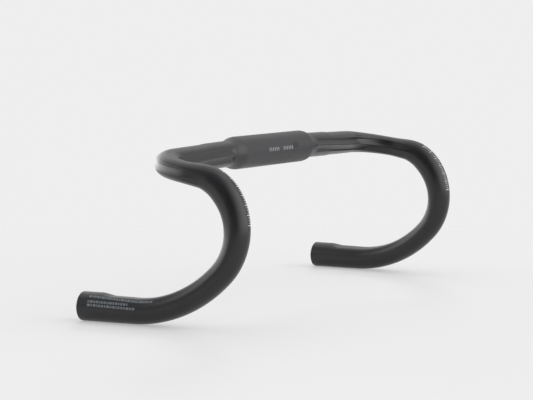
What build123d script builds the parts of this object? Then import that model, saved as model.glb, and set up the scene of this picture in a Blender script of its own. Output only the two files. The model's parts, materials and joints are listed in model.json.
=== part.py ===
"""Drop handlebar: three moulded laminate sections bonded into one bar.

The tops carry the stem clamp and the two drops carry the levers and the hands. Every section is a
hollow tube of three layers: an outer laminate, a thin elastomer damping layer and an inner laminate.
The drops are bonded to the tops over inner sleeves. Units are millimetres. The origin is the middle
of the stem clamp, +X is the rider's right, +Y is forward and +Z is up.
"""
from build123d import *
from math import copysign, cos, degrees, pi, radians, sin, tan
import os

# Centreline of the right half, from the middle of the clamp to the bar end
CLAMP_RADIUS = 15.9                # ground to size, so it stands just proud of the moulded skin
CLAMP_HALF_LENGTH = 66
TAPER_END = 85                     # the clamp bulge has narrowed to the tops here
CORNER = Vector(221.6, 0, -2.1)    # where the lines of the tops and the ramp cross
CORNER_RADIUS = 42
RAMP_ANGLE = 8.8                   # fall of the ramp, in degrees
RAMP_RUN = 52.8                    # from the crossing point to the end of the ramp
UPPER_HOOK = (38.5, 32.9)          # radius, and turn in degrees
MAIN_HOOK = (53.3, 92)
LOWER_HOOK_RADIUS = 117.5
GRIP_STRAIGHT = 54.5
FLARE = 4.1                       # the hook leans out by this angle on its way down
SPLAY = 2.35                       # and by this angle on its way back

# Layers of the wall, from the outside in
OUTER_WALL = 0.9
DAMPING_WALL = 0.4
INNER_WALL = 0.9
OUTER_FACE = 0
DAMPING_FACE = OUTER_WALL
INNER_FACE = DAMPING_FACE + DAMPING_WALL
BORE_FACE = INNER_FACE + INNER_WALL

# Bonded joint between the tops and a drop, and the pieces inside the tube
JOINT = 150
SLEEVE_REACH = 26                  # the sleeve goes this far into each side of the joint
RESIN_GAP = 0.05                   # room between the bore and a piece that is bonded into it
BOND_LINE = 0.15
SLEEVE_WALL = 1.4
CLAMP_INSERT_HALF_LENGTH = 56
CLAMP_INSERT_WALL = 1.6
CLAMP_INSERT_TAPER = 6
LEVER_BAND = (286, 322)            # where the lever's clamp band sits, along the centreline
LEVER_BAND_WALL = 0.7
END_RING_LENGTH = 12
END_BORE_RADIUS = 10.5

# Lever position scale: a printed film of ticks along the outside of each hook
SCALE_START = 272
SCALE_PITCH = 1.85
SCALE_TICKS = 25
SCALE_LONG_EVERY = 4
SCALE_LEAN = 6                     # the scale sits inboard of the outer side by this angle
SCALE_FILM = 0.1
SCALE_LIFT = 0.03
LONG_TICK = (5.5, 0.55)            # across the bar and along it
SHORT_TICK = (3.2, 0.4)

# Section schedule: distance along the centreline, half width, half height, depth of the flat on the
# inside of the bend, and depth of the cable grooves
SECTIONS = (
    (0, 15.88, 15.88, 0, 0),
    (CLAMP_HALF_LENGTH, 15.88, 15.88, 0, 0),
    (TAPER_END, 12.8, 12.6, 0, 0),
    (90, 12.8, 12.6, 0, 1.3),
    (118, 12.8, 12.6, 0, 1.3),
    (134, 12.7, 12.0, 0, 1.3),
    (176, 12.6, 11.7, 0, 1.3),
    (212, 12.2, 10.4, 0, 1.3),
    (236, 12.0, 9.9, 0, 1.1),
    (257, 12.0, 11.0, 0, 0.3),
    (268, 12.2, 12.1, 0, 0),
    (286, 12.5, 12.8, 0, 0),
    (302, 12.4, 12.5, 0.2, 0),
    (318, 12.2, 12.1, 0.9, 0),
    (343, 12.0, 11.9, 1.9, 0),
    (363, 12.1, 12.0, 2.3, 0),
    (402, 12.4, 12.4, 2.4, 0),
    (450, 12.9, 13.1, 2.5, 0),
    (480, 13.4, 13.4, 2.5, 0),
    (493, 13.4, 13.4, 0, 0),
    (530, 13.4, 13.4, 0, 0),
)
# Cable grooves of a face: height of each above the face's middle, and its half width
FRONT_GROOVES = ((-3.75, 3.5), (3.75, 3.5))
REAR_GROOVES = ((0, 4.4),)
OUTLINE_POINTS = 56
FLAT_SHARPNESS = 10                # higher makes a crisper edge beside the flat

# Directions of the hook's plane: forward and up lie in it, outboard points away from it
slope_out = tan(radians(FLARE))
slope_back = tan(radians(SPLAY))
outboard = Vector(1, slope_back, slope_out).normalized()
forward = Vector(-slope_back, 1, 0).normalized()
hook_plane = Plane(origin=CORNER, x_dir=forward, z_dir=outboard)
ramp_local = Vector(cos(radians(RAMP_ANGLE)), -sin(radians(RAMP_ANGLE)))
ramp = hook_plane.x_dir * ramp_local.X + hook_plane.y_dir * ramp_local.Y

# The corner is an arc in the plane of the tops and the ramp
tops_start = Vector(TAPER_END, 0, 0)
tops = (CORNER - tops_start).normalized()
corner_axis = tops.cross(ramp).normalized()
corner_turn = tops.get_angle(ramp)
corner_reach = CORNER_RADIUS * tan(radians(corner_turn / 2))
corner_start = CORNER - tops * corner_reach
corner_plane = Plane(origin=corner_start, x_dir=tops, z_dir=corner_axis)

with BuildLine() as tops_line:
    Line((0, 0, 0), tops_start)
    Line(tops_start, corner_start)
with BuildLine() as corner_profile:
    JernArc(start=(0, 0), tangent=(1, 0), radius=CORNER_RADIUS, arc_size=corner_turn)
with BuildLine() as hook_profile:
    ramp_line = Line(ramp_local * corner_reach, ramp_local * RAMP_RUN)
    upper = JernArc(ramp_line @ 1, ramp_line % 1, UPPER_HOOK[0], -UPPER_HOOK[1])
    main = JernArc(upper @ 1, upper % 1, MAIN_HOOK[0], -MAIN_HOOK[1])
    lower_turn = 180 - RAMP_ANGLE - UPPER_HOOK[1] - MAIN_HOOK[1]
    lower = JernArc(main @ 1, main % 1, LOWER_HOOK_RADIUS, -lower_turn)
    Line(lower @ 1, (lower @ 1) + (lower % 1) * GRIP_STRAIGHT)
corner_line = corner_plane.from_local_coords(corner_profile.line)
hook_line = hook_plane.from_local_coords(hook_profile.line)
CENTRELINE = Wire(tops_line.edges() + corner_line.edges() + hook_line.edges())
BAR_END = CENTRELINE.length
CORNER_START = TAPER_END + (corner_start - tops_start).length
RAMP_START = CORNER_START + CORNER_RADIUS * radians(corner_turn)
RAMP_END = RAMP_START + RAMP_RUN - corner_reach


def ease(value, start, end):
    """0 before start, 1 after end and a smooth step between them."""
    t = min(max((value - start) / (end - start), 0), 1)
    return t * t * (3 - 2 * t)


def schedule(distance):
    """Half width, half height, flat and groove at a distance, without overshoot between the rows."""
    index = max(i for i in range(len(SECTIONS) - 1) if SECTIONS[i][0] <= distance)

    def rise(column, i):
        if not 0 <= i < len(SECTIONS) - 1:
            return 0
        low, high = SECTIONS[i], SECTIONS[i + 1]
        return (high[column] - low[column]) / (high[0] - low[0])

    def slope(column, i):
        before, after = rise(column, i - 1), rise(column, i)
        return 0 if before * after <= 0 else 2 * before * after / (before + after)

    low, high = SECTIONS[index], SECTIONS[index + 1]
    span = high[0] - low[0]
    t = (distance - low[0]) / span
    values = []
    for column in range(1, len(low)):
        start_slope = slope(column, index) * span
        end_slope = slope(column, index + 1) * span
        change = high[column] - low[column]
        values.append(low[column] + t * start_slope
                      + t * t * (3 * change - 2 * start_slope - end_slope)
                      + t * t * t * (start_slope + end_slope - 2 * change))
    return values


def groove_share(height, grooves):
    """How much of the groove depth is cut at a height on a face with these grooves."""
    share = 0
    for middle, half_width in grooves:
        reach = (height - middle) / half_width
        share += (1 - reach * reach) ** 2 if abs(reach) < 1 else 0
    return share


def flattened(height, round_height, flat_height):
    """Height on the inner side of the section, eased onto the flat."""
    power = -FLAT_SHARPNESS
    return (height ** power + flat_height ** power - round_height ** power) ** (1 / power)


def outline(distance, inset, side):
    """Points round one section, inset from the bar's outer face."""
    half_width, half_height, flat, groove = schedule(distance)
    half_width -= inset
    half_height -= inset
    points = []
    for i in range(OUTLINE_POINTS):
        angle = 2 * pi * i / OUTLINE_POINTS
        x = half_width * cos(angle)
        y = half_height * sin(angle)
        if y < 0:
            y = -flattened(-y, half_height, half_height - flat)
        grooves = FRONT_GROOVES if x > 0 else REAR_GROOVES
        x -= copysign(groove * groove_share(y, grooves), x)
        points.append((x, side * y))
    return points


def section_plane(distance, side):
    """Plane across the bar. Local x is the front of the tops and the inboard side of the hook."""
    origin = CENTRELINE.position_at(distance, PositionMode.LENGTH)
    tangent = CENTRELINE.tangent_at(distance, position_mode=PositionMode.LENGTH)
    to_corner = ease(distance, TAPER_END, CORNER_START)
    to_hook = ease(distance, RAMP_START - CORNER_RADIUS, RAMP_END)
    up = Vector(0, 0, 1) * (1 - to_corner) + corner_axis * to_corner
    up = up * (1 - to_hook) + outboard.cross(tangent) * to_hook
    across = up.cross(tangent)
    if side < 0:
        origin, tangent, across = (Vector(-v.X, v.Y, v.Z) for v in (origin, tangent, across))
    return Plane(origin=origin, x_dir=across, z_dir=tangent)


def section(distance, inset, side):
    """One section of the bar as a face. Evenly spaced parameters keep the lofts light."""
    parameters = [i / OUTLINE_POINTS for i in range(OUTLINE_POINTS + 1)]
    points = outline(distance, inset, side)
    with BuildSketch(section_plane(distance, side)) as sketch:
        with BuildLine():
            add(Edge.make_spline(points, periodic=True, parameters=parameters))
        make_face()
    return sketch.sketch


def even_steps(start, end, step):
    """Distances from start up to but not including end, no more than step apart."""
    count = round((end - start) / step + 0.499)
    return [start + (end - start) * i / count for i in range(count)]


# One list of section positions serves every layer, so the layers' faces meet
STATIONS = (
    even_steps(CLAMP_HALF_LENGTH, TAPER_END, 3)
    + even_steps(TAPER_END, 100, 2.5)
    + even_steps(100, JOINT - SLEEVE_REACH, 8)
    + even_steps(JOINT - SLEEVE_REACH, JOINT, 9)
    + even_steps(JOINT, JOINT + SLEEVE_REACH, 9)
    + even_steps(JOINT + SLEEVE_REACH, RAMP_END, 7)
    + even_steps(RAMP_END, 470, 9)
    + even_steps(470, BAR_END - END_RING_LENGTH, 4)
    + even_steps(BAR_END - END_RING_LENGTH, BAR_END, 6)
    + [BAR_END]
)


def sections(start, end, inset, side):
    """Sections of one half of the bar, start and end included."""
    inside = [s for s in STATIONS if start + 0.01 < s < end - 0.01]
    return [section(s, inset, side) for s in [start, *inside, end]]


def tops_body(inset):
    """The tops from joint to joint, without a bore: a true cylinder in the clamp, then a loft each way."""
    with BuildPart() as body:
        with BuildSketch(Plane.YZ):
            Circle(CLAMP_RADIUS - inset)
        extrude(amount=CLAMP_HALF_LENGTH, both=True)
        for side in (1, -1):
            loft(sections=sections(CLAMP_HALF_LENGTH, JOINT, inset, side))
    return body.part


os.makedirs("parts", exist_ok=True)


def save(part, name):
    part.label = name
    export_step(part, f"parts/{name}.step")


# Tops: the middle of the bar, with the clamp bulge and the cable grooves
with BuildPart() as tops_outer_laminate:
    add(tops_body(OUTER_FACE))
    add(tops_body(DAMPING_FACE), mode=Mode.SUBTRACT)
save(tops_outer_laminate.part, "tops_outer_laminate")

with BuildPart() as tops_damping_layer:
    add(tops_body(DAMPING_FACE))
    add(tops_body(INNER_FACE), mode=Mode.SUBTRACT)
save(tops_damping_layer.part, "tops_damping_layer")

with BuildPart() as tops_inner_laminate:
    add(tops_body(INNER_FACE))
    add(tops_body(BORE_FACE), mode=Mode.SUBTRACT)
save(tops_inner_laminate.part, "tops_inner_laminate")

# Reinforcing tube that keeps the stem from crushing the bar, thinned at both ends
with BuildPart() as clamp_reinforcement:
    insert_radius = CLAMP_RADIUS - BORE_FACE - RESIN_GAP
    insert_bore = insert_radius - CLAMP_INSERT_WALL
    with BuildSketch(Plane.XZ):
        with BuildLine():
            Polyline(
                (-CLAMP_INSERT_HALF_LENGTH, insert_radius),
                (CLAMP_INSERT_HALF_LENGTH, insert_radius),
                (CLAMP_INSERT_HALF_LENGTH, insert_radius - CLAMP_INSERT_WALL / 3),
                (CLAMP_INSERT_HALF_LENGTH - CLAMP_INSERT_TAPER, insert_bore),
                (CLAMP_INSERT_TAPER - CLAMP_INSERT_HALF_LENGTH, insert_bore),
                (-CLAMP_INSERT_HALF_LENGTH, insert_radius - CLAMP_INSERT_WALL / 3),
                close=True,
            )
        make_face()
    revolve(axis=Axis.X)
save(clamp_reinforcement.part, "clamp_reinforcement")

for side, hand in ((1, "right"), (-1, "left")):
    # Drop: the outer part of the tops, the corner, the hook and the grip
    ring_start = BAR_END - END_RING_LENGTH
    with BuildPart() as drop_outer_laminate:
        loft(sections=sections(JOINT, BAR_END, OUTER_FACE, side))
        loft(sections=sections(JOINT, BAR_END, DAMPING_FACE, side), mode=Mode.SUBTRACT)
    save(drop_outer_laminate.part, f"drop_outer_laminate_{hand}")

    with BuildPart() as drop_damping_layer:
        loft(sections=sections(JOINT, ring_start, DAMPING_FACE, side))
        loft(sections=sections(JOINT, ring_start, INNER_FACE, side), mode=Mode.SUBTRACT)
    save(drop_damping_layer.part, f"drop_damping_layer_{hand}")

    with BuildPart() as drop_inner_laminate:
        loft(sections=sections(JOINT, ring_start, INNER_FACE, side))
        loft(sections=sections(JOINT, ring_start, BORE_FACE, side), mode=Mode.SUBTRACT)
    save(drop_inner_laminate.part, f"drop_inner_laminate_{hand}")

    # Bonded joint: a sleeve inside the tube, in a thin film of adhesive
    bond_face = BORE_FACE + RESIN_GAP
    sleeve_face = bond_face + BOND_LINE
    sleeve_ends = (JOINT - SLEEVE_REACH, JOINT + SLEEVE_REACH)
    with BuildPart() as joint_adhesive:
        loft(sections=sections(*sleeve_ends, bond_face, side))
        loft(sections=sections(*sleeve_ends, sleeve_face, side), mode=Mode.SUBTRACT)
    save(joint_adhesive.part, f"joint_adhesive_{hand}")

    with BuildPart() as joint_sleeve:
        loft(sections=sections(*sleeve_ends, sleeve_face, side))
        loft(sections=sections(*sleeve_ends, sleeve_face + SLEEVE_WALL, side), mode=Mode.SUBTRACT)
    save(joint_sleeve.part, f"joint_sleeve_{hand}")

    # Extra plies inside the hook, under the lever's clamp band
    with BuildPart() as lever_band_plies:
        loft(sections=sections(*LEVER_BAND, bond_face, side))
        loft(sections=sections(*LEVER_BAND, bond_face + LEVER_BAND_WALL, side), mode=Mode.SUBTRACT)
    save(lever_band_plies.part, f"lever_band_plies_{hand}")

    # Printed film: ticks that lie on the outer laminate
    with BuildPart() as lever_scale:
        for i in range(SCALE_TICKS):
            distance = SCALE_START + SCALE_PITCH * i
            half_width, half_height = schedule(distance)[:2]
            curve_radius = half_width ** 2 / half_height
            middle = (0, side * (half_height - curve_radius))
            across, along = SHORT_TICK if i % SCALE_LONG_EVERY else LONG_TICK
            spread = degrees(across / curve_radius)
            first = side * (90 - SCALE_LEAN) - spread / 2
            with BuildSketch(section_plane(distance, side).offset(-along / 2)):
                with BuildLine():
                    under = CenterArc(middle, curve_radius + SCALE_LIFT, first, spread)
                    over = CenterArc(middle, curve_radius + SCALE_LIFT + SCALE_FILM, first, spread)
                    Line(under @ 0, over @ 0)
                    Line(under @ 1, over @ 1)
                make_face()
            extrude(amount=along)
    save(lever_scale.part, f"lever_scale_{hand}")

    # Ring that closes the layers at the bar end and takes the end plug
    with BuildPart() as end_ring:
        with BuildSketch(section_plane(ring_start, side)):
            Circle(SECTIONS[-1][1] - DAMPING_FACE)
            Circle(END_BORE_RADIUS, mode=Mode.SUBTRACT)
        extrude(amount=END_RING_LENGTH)
    save(end_ring.part, f"end_ring_{hand}")
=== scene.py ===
"""Looks of a drop handlebar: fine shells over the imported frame, printed marks, materials, light and camera.

Lengths inside the shape functions are in millimetres, as a bar is drawn, and turn into metres where a
mesh is made. The frame's origin is the middle of the stem clamp, +X is the rider's right, +Y is forward.
"""
import json
from math import cos, pi, radians, sin, tan

import bpy
from mathutils import Matrix, Vector

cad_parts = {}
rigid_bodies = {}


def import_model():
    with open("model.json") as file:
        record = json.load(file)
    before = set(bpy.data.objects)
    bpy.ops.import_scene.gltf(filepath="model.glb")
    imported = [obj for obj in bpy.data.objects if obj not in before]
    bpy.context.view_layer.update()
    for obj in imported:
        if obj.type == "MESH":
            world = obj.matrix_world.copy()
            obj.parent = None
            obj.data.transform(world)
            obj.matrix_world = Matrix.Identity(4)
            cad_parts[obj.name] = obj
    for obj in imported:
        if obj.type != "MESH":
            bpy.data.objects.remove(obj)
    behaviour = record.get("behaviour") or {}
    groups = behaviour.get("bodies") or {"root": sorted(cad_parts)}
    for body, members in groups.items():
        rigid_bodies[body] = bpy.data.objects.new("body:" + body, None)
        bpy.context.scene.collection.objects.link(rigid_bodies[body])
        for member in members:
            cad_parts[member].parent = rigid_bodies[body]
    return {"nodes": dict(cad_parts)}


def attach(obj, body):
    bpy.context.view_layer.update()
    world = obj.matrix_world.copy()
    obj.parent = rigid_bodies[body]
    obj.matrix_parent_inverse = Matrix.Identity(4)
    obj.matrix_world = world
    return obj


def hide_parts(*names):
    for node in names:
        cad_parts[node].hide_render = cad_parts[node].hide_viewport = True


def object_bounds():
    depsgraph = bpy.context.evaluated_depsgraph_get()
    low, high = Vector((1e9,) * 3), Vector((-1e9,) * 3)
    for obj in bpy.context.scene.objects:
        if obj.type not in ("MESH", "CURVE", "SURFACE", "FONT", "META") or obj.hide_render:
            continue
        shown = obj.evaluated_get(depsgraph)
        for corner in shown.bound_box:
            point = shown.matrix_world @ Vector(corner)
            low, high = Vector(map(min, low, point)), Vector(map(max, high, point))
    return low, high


for stray in list(bpy.data.objects):
    bpy.data.objects.remove(stray)
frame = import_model()
cad_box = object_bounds()

MM = 0.001
HANDS = (("right", 1), ("left", -1))

# ---------------------------------------------------------------- the bar's shape, as in the CAD
CLAMP_HALF_LENGTH = 66
TAPER_END = 85
CORNER = Vector((221.6, 0, -2.1))
CORNER_RADIUS = 42
RAMP_ANGLE = 8.8
RAMP_RUN = 52.8
UPPER_HOOK = (38.5, 32.9)
MAIN_HOOK = (53.3, 92)
LOWER_HOOK_RADIUS = 117.5
GRIP_STRAIGHT = 54.5
FLARE = 4.1
SPLAY = 2.35
OUTER_WALL = 0.9
JOINT = 150
END_RING_LENGTH = 12

# Distance along the bar, half width, half height, depth of the flat and depth of the grooves
SECTIONS = (
    (0, 15.89, 15.89, 0, 0),
    (CLAMP_HALF_LENGTH, 15.89, 15.89, 0, 0),
    (TAPER_END, 12.8, 12.6, 0, 0),
    (90, 12.8, 12.6, 0, 1.3),
    (118, 12.8, 12.6, 0, 1.3),
    (134, 12.7, 12.0, 0, 1.3),
    (176, 12.6, 11.7, 0, 1.3),
    (212, 12.2, 10.4, 0, 1.3),
    (236, 12.0, 9.9, 0, 1.1),
    (257, 12.0, 11.0, 0, 0.3),
    (268, 12.2, 12.1, 0, 0),
    (286, 12.5, 12.8, 0, 0),
    (302, 12.4, 12.5, 0.2, 0),
    (318, 12.2, 12.1, 0.9, 0),
    (343, 12.0, 11.9, 1.9, 0),
    (363, 12.1, 12.0, 2.3, 0),
    (402, 12.4, 12.4, 2.4, 0),
    (450, 12.9, 13.1, 2.5, 0),
    (480, 13.4, 13.4, 2.5, 0),
    (493, 13.4, 13.4, 0, 0),
    (530, 13.4, 13.4, 0, 0),
)
# Cable grooves of a face: height of each above the face's middle, half width and share of the depth.
# On the skin they are deeper and steeper than in the CAD.
FRONT_GROOVES = ((-3.75, 3.5, 1), (3.75, 3.5, 1))
REAR_GROOVES = ((0, 4.4, 1),)
BORE_STEEPNESS = 2
SKIN_FRONT_GROOVES = ((-3.75, 3.5, 1.3), (3.75, 3.5, 1.3))
SKIN_REAR_GROOVES = ((0.6, 4.2, 1.25),)
SKIN_STEEPNESS = 3
FLAT_SHARPNESS = 10

# Fineness of the meshes
AROUND = 192
STEP = 1.3
INNER_STEP = 4
EDGE_RADIUS = 0.45                 # rounding of the moulded edge at the bar end
EDGE_STEPS = 5

outboard = Vector((1, tan(radians(SPLAY)), tan(radians(FLARE)))).normalized()
forward = Vector((-tan(radians(SPLAY)), 1, 0)).normalized()
hook_up = outboard.cross(forward)
ramp = forward * cos(radians(RAMP_ANGLE)) - hook_up * sin(radians(RAMP_ANGLE))


class Path:
    """The centreline of the right half: straight runs and arcs, each tangent to the one before."""

    def __init__(self, start, tangent):
        self.start, self.tangent, self.length = start, tangent, 0
        self.pieces = []

    def run(self, length, tangent=None):
        tangent = tangent or self.tangent
        self.pieces.append((self.length, self.start, tangent, None, 0))
        self.start = self.start + tangent * length
        self.tangent = tangent
        self.length += length
        return self

    def arc(self, axis, radius, turn):
        self.pieces.append((self.length, self.start, self.tangent, axis, radius))
        self.length += radius * turn
        self.start, self.tangent = self.at(self.length)
        return self

    def at(self, distance):
        """Position and tangent at a distance from the middle of the clamp."""
        _, piece = max((p[0], i) for i, p in enumerate(self.pieces) if p[0] <= distance + 1e-9)
        first, start, tangent, axis, radius = self.pieces[piece]
        t = distance - first
        if axis is None:
            return start + tangent * t, tangent
        angle = t / radius
        inward = axis.cross(tangent)
        place = start + (tangent * sin(angle) + inward * (1 - cos(angle))) * radius
        return place, tangent * cos(angle) + inward * sin(angle)


tops_start = Vector((TAPER_END, 0, 0))
tops = (CORNER - tops_start).normalized()
corner_axis = tops.cross(ramp).normalized()
corner_turn = tops.angle(ramp)
corner_reach = CORNER_RADIUS * tan(corner_turn / 2)
lower_turn = 180 - RAMP_ANGLE - UPPER_HOOK[1] - MAIN_HOOK[1]
bar = Path(Vector((0, 0, 0)), Vector((1, 0, 0)))
bar.run(TAPER_END)
bar.run((CORNER - tops_start).length - corner_reach, tops)
CORNER_START = bar.length
bar.arc(corner_axis, CORNER_RADIUS, corner_turn)
RAMP_START = bar.length
bar.run(RAMP_RUN - corner_reach, ramp)
RAMP_END = bar.length
bar.arc(-outboard, UPPER_HOOK[0], radians(UPPER_HOOK[1]))
bar.arc(-outboard, MAIN_HOOK[0], radians(MAIN_HOOK[1]))
bar.arc(-outboard, LOWER_HOOK_RADIUS, radians(lower_turn))
bar.run(GRIP_STRAIGHT)
BAR_END = bar.length


def ease(value, start, end):
    """0 before start, 1 after end and a smooth step between them."""
    t = min(max((value - start) / (end - start), 0), 1)
    return t * t * (3 - 2 * t)


def schedule(distance):
    """Half width, half height, flat and groove at a distance, without overshoot between the rows."""
    index = max(i for i in range(len(SECTIONS) - 1) if SECTIONS[i][0] <= distance)

    def rise(column, i):
        if not 0 <= i < len(SECTIONS) - 1:
            return 0
        low, high = SECTIONS[i], SECTIONS[i + 1]
        return (high[column] - low[column]) / (high[0] - low[0])

    def slope(column, i):
        before, after = rise(column, i - 1), rise(column, i)
        return 0 if before * after <= 0 else 2 * before * after / (before + after)

    low, high = SECTIONS[index], SECTIONS[index + 1]
    span = high[0] - low[0]
    t = (distance - low[0]) / span
    values = []
    for column in range(1, len(low)):
        start_slope = slope(column, index) * span
        end_slope = slope(column, index + 1) * span
        change = high[column] - low[column]
        values.append(low[column] + t * start_slope
                      + t * t * (3 * change - 2 * start_slope - end_slope)
                      + t * t * t * (start_slope + end_slope - 2 * change))
    return values


def groove_share(height, grooves, steepness):
    """How much of the groove depth is cut at a height on a face with these grooves."""
    share = 0
    for middle, half_width, depth in grooves:
        reach = abs(height - middle) / half_width
        share += depth * (1 - reach ** steepness) ** 2 if reach < 1 else 0
    return share


def flattened(height, round_height, flat_height):
    """Height on the inner side of the section, eased onto the flat."""
    power = -FLAT_SHARPNESS
    return (height ** power + flat_height ** power - round_height ** power) ** (1 / power)


def section_point(distance, angle, inset=0, lift=0):
    """Point of a section in its own plane, inset from the outer face or lifted off it."""
    half_width, half_height, flat, groove = schedule(distance)
    half_width += lift - inset
    half_height += lift - inset
    x = half_width * cos(angle)
    y = half_height * sin(angle)
    if y < -1e-6:
        y = -flattened(-y, half_height, half_height - flat)
    front, rear, steepness = FRONT_GROOVES, REAR_GROOVES, BORE_STEEPNESS
    if inset < OUTER_WALL:
        front, rear, steepness = SKIN_FRONT_GROOVES, SKIN_REAR_GROOVES, SKIN_STEEPNESS
    if x > 0:
        x -= groove * groove_share(y, front, steepness)
    else:
        x += groove * groove_share(y, rear, steepness)
    return x, y


def section_axes(distance):
    """Place of a section, its direction to the front or inboard side, and its direction up or outward."""
    place, tangent = bar.at(distance)
    to_corner = ease(distance, TAPER_END, CORNER_START)
    to_hook = ease(distance, RAMP_START - CORNER_RADIUS, RAMP_END)
    up = Vector((0, 0, 1)) * (1 - to_corner) + corner_axis * to_corner
    up = up * (1 - to_hook) + outboard.cross(tangent) * to_hook
    across = up.cross(tangent).normalized()
    return place, across, tangent.cross(across)


def surface(distance, angle, side, inset=0, lift=0):
    """Point on the bar's skin in metres."""
    place, across, up = section_axes(abs(distance))
    x, y = section_point(abs(distance), angle, inset, lift)
    point = (place + across * x + up * y) * MM
    return Vector((side * point.x, point.y, point.z))


def steps(start, end, step):
    """Distances from start to end, evenly spaced and no more than step apart."""
    count = max(1, int(abs(end - start) / step + 0.999))
    return [start + (end - start) * i / count for i in range(count + 1)]


# ---------------------------------------------------------------- meshes
def new_piece(name, points, faces, material, smooth=True):
    mesh = bpy.data.meshes.new(name)
    mesh.from_pydata([tuple(p) for p in points], [], faces)
    mesh.update()
    mesh.materials.append(material)
    if smooth:
        mesh.polygons.foreach_set("use_smooth", [True] * len(mesh.polygons))
    piece = bpy.data.objects.new(name, mesh)
    bpy.context.scene.collection.objects.link(piece)
    return piece


def closed_tube(name, rings, material, flip):
    """A shell from rings of points that run out along the skin, round the end and back along the bore."""
    count = len(rings[0])
    points = [p for ring in rings for p in ring]
    faces = []
    for i in range(len(rings)):
        following = (i + 1) % len(rings)
        for j in range(count):
            k = (j + 1) % count
            quad = (i * count + j, i * count + k, following * count + k, following * count + j)
            faces.append(quad[::-1] if flip else quad)
    return new_piece(name, points, faces, material)


def ring(distance, side, inset=0):
    return [surface(distance, 2 * pi * j / AROUND, side, inset) for j in range(AROUND)]


def edge_rings(distance, side):
    """Rings round the moulded edge at the bar end, from the skin to the wall's end face."""
    rings = []
    for i in range(1, EDGE_STEPS + 1):
        angle = pi / 2 * i / EDGE_STEPS
        back = EDGE_RADIUS * (1 - sin(angle))
        rings.append(ring(distance - back, side, EDGE_RADIUS * (1 - cos(angle))))
    return rings


def shell(name, side, start, end, capped, material):
    """Outer laminate as a closed wall: skin, rounded end where it is capped, and bore."""
    outer = [ring(d, side) for d in steps(start, end - (EDGE_RADIUS if capped else 0), STEP)]
    if capped:
        outer += edge_rings(end, side)
    inner = [ring(d, side, OUTER_WALL) for d in steps(end, start, INNER_STEP)]
    return closed_tube(name, outer + inner, material, flip=side < 0)


FILM_LIFT = 0.06
FILM_DEPTH = 0.05


def film(name, patches, side, material, columns=4, rows=3):
    """Printed marks: thin closed patches that follow the skin, as one piece.

    A patch is its first and last distance and its first and last angle, both taken at its middle line.
    """
    points, faces = [], []
    for near, far, low, high in patches:
        base = len(points)
        for lift in (FILM_LIFT, -FILM_DEPTH):
            for i in range(columns + 1):
                for j in range(rows + 1):
                    distance = near + (far - near) * i / columns
                    angle = low + (high - low) * j / rows
                    points.append(surface(distance, angle, side, lift=lift))
        layer = (columns + 1) * (rows + 1)
        for i in range(columns):
            for j in range(rows):
                a = base + i * (rows + 1) + j
                top = (a, a + 1, a + rows + 2, a + rows + 1)
                faces += [top, tuple(layer + v for v in top[::-1])]
        rim = [i * (rows + 1) for i in range(columns + 1)]
        rim += [columns * (rows + 1) + j for j in range(1, rows + 1)]
        rim += [i * (rows + 1) + rows for i in range(columns - 1, -1, -1)]
        rim += [j for j in range(rows - 1, 0, -1)]
        for k, v in enumerate(rim):
            w = rim[(k + 1) % len(rim)]
            faces.append((base + v, base + w, base + layer + w, base + layer + v))
    if side < 0:
        faces = [face[::-1] for face in faces]
    return new_piece(name, points, faces, material, smooth=False)


# ---------------------------------------------------------------- materials
COAT_COLOR = (0.0092, 0.0094, 0.0112)
CLAMP_COLOR = (0.018, 0.0178, 0.0205)
SCALE_COLOR = (0.9, 0.9, 0.92)
LEGEND_COLOR = (0.17, 0.19, 0.21)
STEM_MARK_COLOR = (0.32, 0.32, 0.36)
LABEL_COLOR = (0.008, 0.008, 0.01)
COAT_ROUGHNESS = (0.27, 0.33)
CLAMP_EXTRA_ROUGHNESS = 0.12
CLAMP_BAND = (TAPER_END + 4, TAPER_END - 6)


def new_material(name, color, roughness, specular=0.5, metallic=0.0):
    material = bpy.data.materials.new(name)
    material.use_nodes = True
    nodes = material.node_tree.nodes
    shader = nodes["Principled BSDF"]
    shader.inputs["Base Color"].default_value = (*color, 1)
    shader.inputs["Roughness"].default_value = roughness
    shader.inputs["Specular IOR Level"].default_value = specular
    shader.inputs["Metallic"].default_value = metallic
    material.diffuse_color = (*color, 1)
    return material, nodes, material.node_tree.links, shader


def noise(nodes, links, where, scale, detail=2, stretch=None):
    """Noise in the object's own space, finer along an axis where it is stretched."""
    texture = nodes.new("ShaderNodeTexNoise")
    texture.inputs["Scale"].default_value = scale
    texture.inputs["Detail"].default_value = detail
    if stretch:
        mapping = nodes.new("ShaderNodeMapping")
        mapping.inputs["Scale"].default_value = stretch
        links.new(where, mapping.inputs["Vector"])
        where = mapping.outputs["Vector"]
    links.new(where, texture.inputs["Vector"])
    return texture.outputs["Fac"]


def spread(nodes, links, value, low, high, source=(0.3, 0.7)):
    """Maps a noise value onto a range."""
    node = nodes.new("ShaderNodeMapRange")
    node.inputs["From Min"].default_value, node.inputs["From Max"].default_value = source
    node.inputs["To Min"].default_value, node.inputs["To Max"].default_value = low, high
    links.new(value, node.inputs["Value"])
    return node.outputs["Result"]


def mixed(nodes, links, share, first, second):
    """Mix of two colours, each a tuple or a socket."""
    node = nodes.new("ShaderNodeMix")
    node.data_type = "RGBA"
    links.new(share, node.inputs["Factor"])
    for name, color in (("A", first), ("B", second)):
        socket = [i for i in node.inputs if i.name == name and i.type == "RGBA"][0]
        if isinstance(color, tuple):
            socket.default_value = (*color, 1)
        else:
            links.new(color, socket)
    return [o for o in node.outputs if o.type == "RGBA"][0]


def bumped(nodes, links, shader, height, strength, distance):
    node = nodes.new("ShaderNodeBump")
    node.inputs["Strength"].default_value = strength
    node.inputs["Distance"].default_value = distance
    links.new(height, node.inputs["Height"])
    links.new(node.outputs["Normal"], shader.inputs["Normal"])


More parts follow.
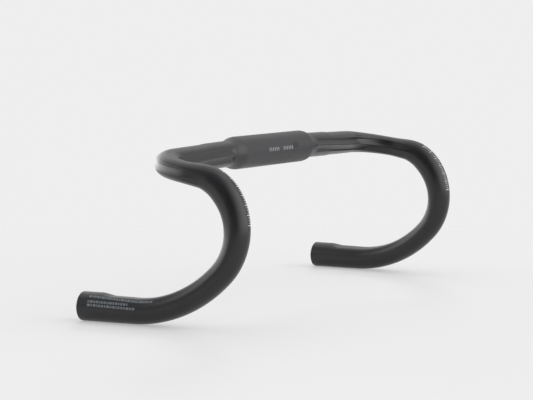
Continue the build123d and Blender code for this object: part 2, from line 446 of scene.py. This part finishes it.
def coated_laminate():
    """Matt black coat over carbon: fine grain, faint cloudiness, paler and rougher over clamp and tapers."""
    material, nodes, links, shader = new_material("coated_laminate", COAT_COLOR, 0.46)
    where = nodes.new("ShaderNodeTexCoord").outputs["Object"]
    axes = nodes.new("ShaderNodeSeparateXYZ")
    links.new(where, axes.inputs["Vector"])
    middle = nodes.new("ShaderNodeMath")
    middle.operation = "ABSOLUTE"
    links.new(axes.outputs["X"], middle.inputs[0])
    band = nodes.new("ShaderNodeMapRange")
    band.interpolation_type = "SMOOTHSTEP"
    band.inputs["From Min"].default_value = CLAMP_BAND[0] * MM
    band.inputs["From Max"].default_value = CLAMP_BAND[1] * MM
    links.new(middle.outputs["Value"], band.inputs["Value"])

    cloud = spread(nodes, links, noise(nodes, links, where, 38, detail=3), 0, 1)
    darker = tuple(c * 0.86 for c in COAT_COLOR)
    lighter = tuple(c * 1.14 for c in COAT_COLOR)
    coat = mixed(nodes, links, cloud, darker, lighter)
    links.new(mixed(nodes, links, band.outputs["Result"], coat, CLAMP_COLOR), shader.inputs["Base Color"])
    patchy = spread(nodes, links, noise(nodes, links, where, 210, detail=3), *COAT_ROUGHNESS)
    rough = nodes.new("ShaderNodeMath")
    rough.operation = "MULTIPLY_ADD"
    rough.inputs[1].default_value = CLAMP_EXTRA_ROUGHNESS
    links.new(band.outputs["Result"], rough.inputs[0])
    links.new(patchy, rough.inputs[2])
    links.new(rough.outputs["Value"], shader.inputs["Roughness"])
    bumped(nodes, links, shader, noise(nodes, links, where, 2600, detail=3), 0.07, 0.00012)
    return material


def raw_laminate():
    """Moulded carbon inside the tube: resin-rich, with broad wrinkles from the bladder."""
    material, nodes, links, shader = new_material("raw_laminate", (0.02, 0.02, 0.022), 0.4)
    where = nodes.new("ShaderNodeTexCoord").outputs["Object"]
    weave = noise(nodes, links, where, 160, detail=4)
    color = mixed(nodes, links, weave, (0.012, 0.012, 0.014), (0.045, 0.045, 0.048))
    links.new(color, shader.inputs["Base Color"])
    links.new(spread(nodes, links, weave, 0.3, 0.6), shader.inputs["Roughness"])
    bumped(nodes, links, shader, noise(nodes, links, where, 320, detail=2), 0.5, 0.0006)
    return material


def damping_film():
    material, nodes, links, shader = new_material("damping_film", (0.07, 0.066, 0.06), 0.75)
    where = nodes.new("ShaderNodeTexCoord").outputs["Object"]
    grain = noise(nodes, links, where, 900, detail=3)
    color = mixed(nodes, links, grain, (0.05, 0.047, 0.043), (0.1, 0.095, 0.086))
    links.new(color, shader.inputs["Base Color"])
    bumped(nodes, links, shader, grain, 0.3, 0.0001)
    return material


def epoxy():
    material, nodes, links, shader = new_material("epoxy_bond", (0.2, 0.2, 0.18), 0.35)
    where = nodes.new("ShaderNodeTexCoord").outputs["Object"]
    cloud = noise(nodes, links, where, 300, detail=2)
    color = mixed(nodes, links, cloud, (0.16, 0.16, 0.145), (0.27, 0.27, 0.24))
    links.new(color, shader.inputs["Base Color"])
    bumped(nodes, links, shader, cloud, 0.4, 0.0002)
    return material


def anodised_tube():
    material, nodes, links, shader = new_material("anodised_tube", (0.45, 0.45, 0.46), 0.35, metallic=1)
    where = nodes.new("ShaderNodeTexCoord").outputs["Object"]
    turned = noise(nodes, links, where, 60, detail=3, stretch=(40, 1, 1))
    links.new(spread(nodes, links, turned, 0.28, 0.45), shader.inputs["Roughness"])
    color = mixed(nodes, links, turned, (0.38, 0.38, 0.39), (0.52, 0.52, 0.53))
    links.new(color, shader.inputs["Base Color"])
    bumped(nodes, links, shader, turned, 0.25, 0.00005)
    return material


def moulded_ring():
    material, nodes, links, shader = new_material("moulded_ring", (0.02, 0.02, 0.021), 0.5)
    where = nodes.new("ShaderNodeTexCoord").outputs["Object"]
    grain = noise(nodes, links, where, 1500, detail=3)
    color = mixed(nodes, links, grain, (0.015, 0.015, 0.016), (0.03, 0.03, 0.032))
    links.new(color, shader.inputs["Base Color"])
    links.new(spread(nodes, links, grain, 0.42, 0.6), shader.inputs["Roughness"])
    bumped(nodes, links, shader, grain, 0.25, 0.0001)
    return material


def printed(name, color):
    """Thin print, a little uneven in its cover."""
    material, nodes, links, shader = new_material(name, color, 0.55)
    where = nodes.new("ShaderNodeTexCoord").outputs["Object"]
    cover = spread(nodes, links, noise(nodes, links, where, 1800, detail=2), 0, 1)
    thin = tuple(c * 0.7 for c in color)
    links.new(mixed(nodes, links, cover, thin, color), shader.inputs["Base Color"])
    return material


coat = coated_laminate()
laminate = raw_laminate()
node_materials = {
    "tops_damping_layer": damping_film(),
    "tops_inner_laminate": laminate,
    "clamp_reinforcement": anodised_tube(),
}
bond, ring_material, scale_print = epoxy(), moulded_ring(), printed("scale_print", SCALE_COLOR)
for hand, side in HANDS:
    node_materials[f"drop_damping_layer_{hand}"] = node_materials["tops_damping_layer"]
    node_materials[f"joint_adhesive_{hand}"] = bond
    node_materials[f"lever_scale_{hand}"] = scale_print
    node_materials[f"end_ring_{hand}"] = ring_material
    for name in ("drop_inner_laminate", "joint_sleeve", "lever_band_plies"):
        node_materials[f"{name}_{hand}"] = laminate
for name, material in node_materials.items():
    mesh = frame["nodes"][name].data
    mesh.materials.clear()
    mesh.materials.append(material)

# ---------------------------------------------------------------- skins
SHARP_ANGLE = radians(40)


def finished(piece, slot, *nodes):
    piece.data.set_sharp_from_angle(angle=SHARP_ANGLE)
    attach(piece, "root")
    if nodes:
        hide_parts(*nodes)
    return piece


def tops_shell():
    outer = [ring(abs(d), 1 if d >= 0 else -1) for d in steps(-JOINT, JOINT, STEP)]
    inner = [ring(abs(d), 1 if d >= 0 else -1, OUTER_WALL) for d in steps(JOINT, -JOINT, INNER_STEP)]
    return closed_tube("tops_skin", outer + inner, coat, flip=False)


finished(tops_shell(), "carbon", "tops_outer_laminate")
for hand, side in HANDS:
    skin = shell(f"drop_skin_{hand}", side, JOINT, BAR_END, True, coat)
    finished(skin, "carbon", f"drop_outer_laminate_{hand}")

# ---------------------------------------------------------------- printed marks
STEM_MARKS = 6                     # on each side of the middle of the clamp
STEM_MARK_START = 5
STEM_MARK_PITCH = 3.6
STEM_MARK_WIDTH = 1.3
STEM_MARK_ANGLES = (radians(-1), radians(12))
LABEL = (26, 37, radians(4), radians(24))
# A row of dashes: first and last distance, and the angle at each
LEGEND_ROWS = (
    (501, 431, radians(228), radians(210)),
    (501, 456, radians(204), radians(201)),
    (501, 450, radians(190), radians(185)),
)
DASHES = (2.2, 1.3, 3.1, 1.6, 2.5, 1.2, 1.9)
DASH_GAP = 0.9
DASH_HALF_HEIGHT = 1.1

for hand, side in HANDS:
    marks = []
    for i in range(STEM_MARKS):
        start = STEM_MARK_START + STEM_MARK_PITCH * i
        marks.append((start, start + STEM_MARK_WIDTH, *STEM_MARK_ANGLES))
    piece = film(f"stem_marks_{hand}", marks, side, printed(f"stem_print_{hand}", STEM_MARK_COLOR))
    finished(piece, "scale_print")

dashes = []
for near, far, near_angle, far_angle in LEGEND_ROWS:
    distance, row_start = near, len(dashes)
    while distance - max(DASHES) > far:
        dash = DASHES[(len(dashes) - row_start + round(far)) % len(DASHES)]
        t = (near - distance) / (near - far)
        angle = near_angle + (far_angle - near_angle) * t
        half = DASH_HALF_HEIGHT / schedule(distance)[0]
        dashes.append((distance - dash, distance, angle - half, angle + half))
        distance -= dash + DASH_GAP
finished(film("grip_dashes", dashes, 1, printed("legend_print", LEGEND_COLOR)), "scale_print")
finished(film("clamp_label", [LABEL], -1, printed("label_print", LABEL_COLOR), 12, 8), "scale_print")

# ---------------------------------------------------------------- floor, light and camera
CAMERA_PLACE = Vector((1671.5, 904.6, 115.6)) * MM
CAMERA_AZIMUTH = 118.45            # of the camera's right-hand direction, in degrees
CAMERA_ELEVATION = 5.0
CAMERA_LENS = 128.98
SENSOR_WIDTH = 36
FLOOR_COLOR = (0.38, 0.38, 0.38)
FLOOR_GLOW = 0.37                  # light the table top gives off itself, for an even tone
FLOOR_BEHIND = -0.67               # where the table top ends behind the bar, in metres
FLOOR_REACH = 6.0
BACKDROP_LEVEL = 0.86
# Light of the room round the bar: towards the camera and away from it, and what the walls add to it
ROOM_FRONT = 0.2
ROOM_BACK = 0.78
LEFT_WALL = 2.8
RIGHT_WALL = 2.3
# Soft lights: name, azimuth and elevation they come from, apparent size, strength, whether they glint
SUNS = (
    ("window", 203, 23, 17, 1.2, False),
    ("overhead", 215, 62, 70, 0.5, True),
)

floor_height = cad_box[0].z
sideways = Vector((cos(radians(CAMERA_AZIMUTH)), sin(radians(CAMERA_AZIMUTH)), 0))
to_camera = Vector((sideways.y, -sideways.x, 0))


def direction(azimuth, elevation):
    flat = cos(radians(elevation))
    return Vector((flat * cos(radians(azimuth)), flat * sin(radians(azimuth)), sin(radians(elevation))))


def make_floor():
    """Pale table top that ends behind the bar, square to the camera."""
    reaches = ((-FLOOR_REACH, FLOOR_BEHIND), (-FLOOR_REACH, FLOOR_REACH),
               (FLOOR_REACH, FLOOR_REACH), (FLOOR_REACH, FLOOR_BEHIND))
    points = [sideways * u + to_camera * v + Vector((0, 0, floor_height)) for u, v in reaches]
    material, nodes, links, shader = new_material("pale_floor", FLOOR_COLOR, 1, specular=0)
    shader.inputs["Emission Color"].default_value = (1, 1, 1, 1)
    shader.inputs["Emission Strength"].default_value = FLOOR_GLOW
    piece = new_piece("floor", points, [(3, 2, 1, 0)], material, smooth=False)


def make_surround():
    """Pale backdrop, and the light of a room with bright walls to the left and right of a darker front."""
    world = bpy.data.worlds.new("surround")
    bpy.context.scene.world = world
    world.use_nodes = True
    nodes, links = world.node_tree.nodes, world.node_tree.links
    backdrop = nodes["Background"]
    backdrop.inputs["Color"].default_value = (1, 1, 1, 1)
    backdrop.inputs["Strength"].default_value = BACKDROP_LEVEL
    light = nodes.new("ShaderNodeBackground")
    where = nodes.new("ShaderNodeTexCoord").outputs["Generated"]

    def towards(aim, low, high, source):
        dot = nodes.new("ShaderNodeVectorMath")
        dot.operation = "DOT_PRODUCT"
        dot.inputs[1].default_value = aim
        links.new(where, dot.inputs[0])
        return spread(nodes, links, dot.outputs["Value"], low, high, source)

    def combined(operation, first, second):
        node = nodes.new("ShaderNodeMath")
        node.operation = operation
        links.new(first, node.inputs[0])
        links.new(second, node.inputs[1])
        return node.outputs["Value"]

    left_wall = combined("MULTIPLY", towards(-sideways, 0, LEFT_WALL, (0.05, 0.45)),
                         towards(to_camera, 1, 0, (0.22, 0.42)))
    right = combined("MULTIPLY", towards(sideways, 0, RIGHT_WALL, (0.05, 0.75)),
                     towards(to_camera, 0, 1, (-0.5, -0.1)))
    left = combined("MULTIPLY", left_wall, towards(Vector((0, 0, 1)), 1, 0, (0.3, 0.6)))
    room = towards(to_camera, ROOM_BACK, ROOM_FRONT, (0.2, 0.8))
    links.new(combined("ADD", room, combined("ADD", left, right)), light.inputs["Strength"])
    mix = nodes.new("ShaderNodeMixShader")
    links.new(nodes.new("ShaderNodeLightPath").outputs["Is Camera Ray"], mix.inputs["Fac"])
    links.new(light.outputs["Background"], mix.inputs[1])
    links.new(backdrop.outputs["Background"], mix.inputs[2])
    links.new(mix.outputs["Shader"], nodes["World Output"].inputs["Surface"])


def make_lights():
    for name, azimuth, elevation, size, strength, glints in SUNS:
        data = bpy.data.lights.new(name, "SUN")
        data.energy = strength
        data.angle = radians(size)
        sun = bpy.data.objects.new(name, data)
        bpy.context.scene.collection.objects.link(sun)
        sun.rotation_euler = direction(azimuth, elevation).to_track_quat("Z", "Y").to_euler()
        sun.visible_glossy = glints


def make_camera():
    data = bpy.data.cameras.new("camera")
    data.lens = CAMERA_LENS
    data.sensor_width = SENSOR_WIDTH
    data.clip_end = 50
    camera = bpy.data.objects.new("camera", data)
    bpy.context.scene.collection.objects.link(camera)
    tilt = radians(CAMERA_ELEVATION)
    back = to_camera * cos(tilt) + Vector((0, 0, 1)) * sin(tilt)
    turn = Matrix((sideways, back.cross(sideways), back)).transposed()
    camera.matrix_world = Matrix.Translation(CAMERA_PLACE) @ turn.to_4x4()
    bpy.context.scene.camera = camera


make_floor()
make_surround()
make_lights()
make_camera()
bpy.context.scene.view_settings.view_transform = "Standard"
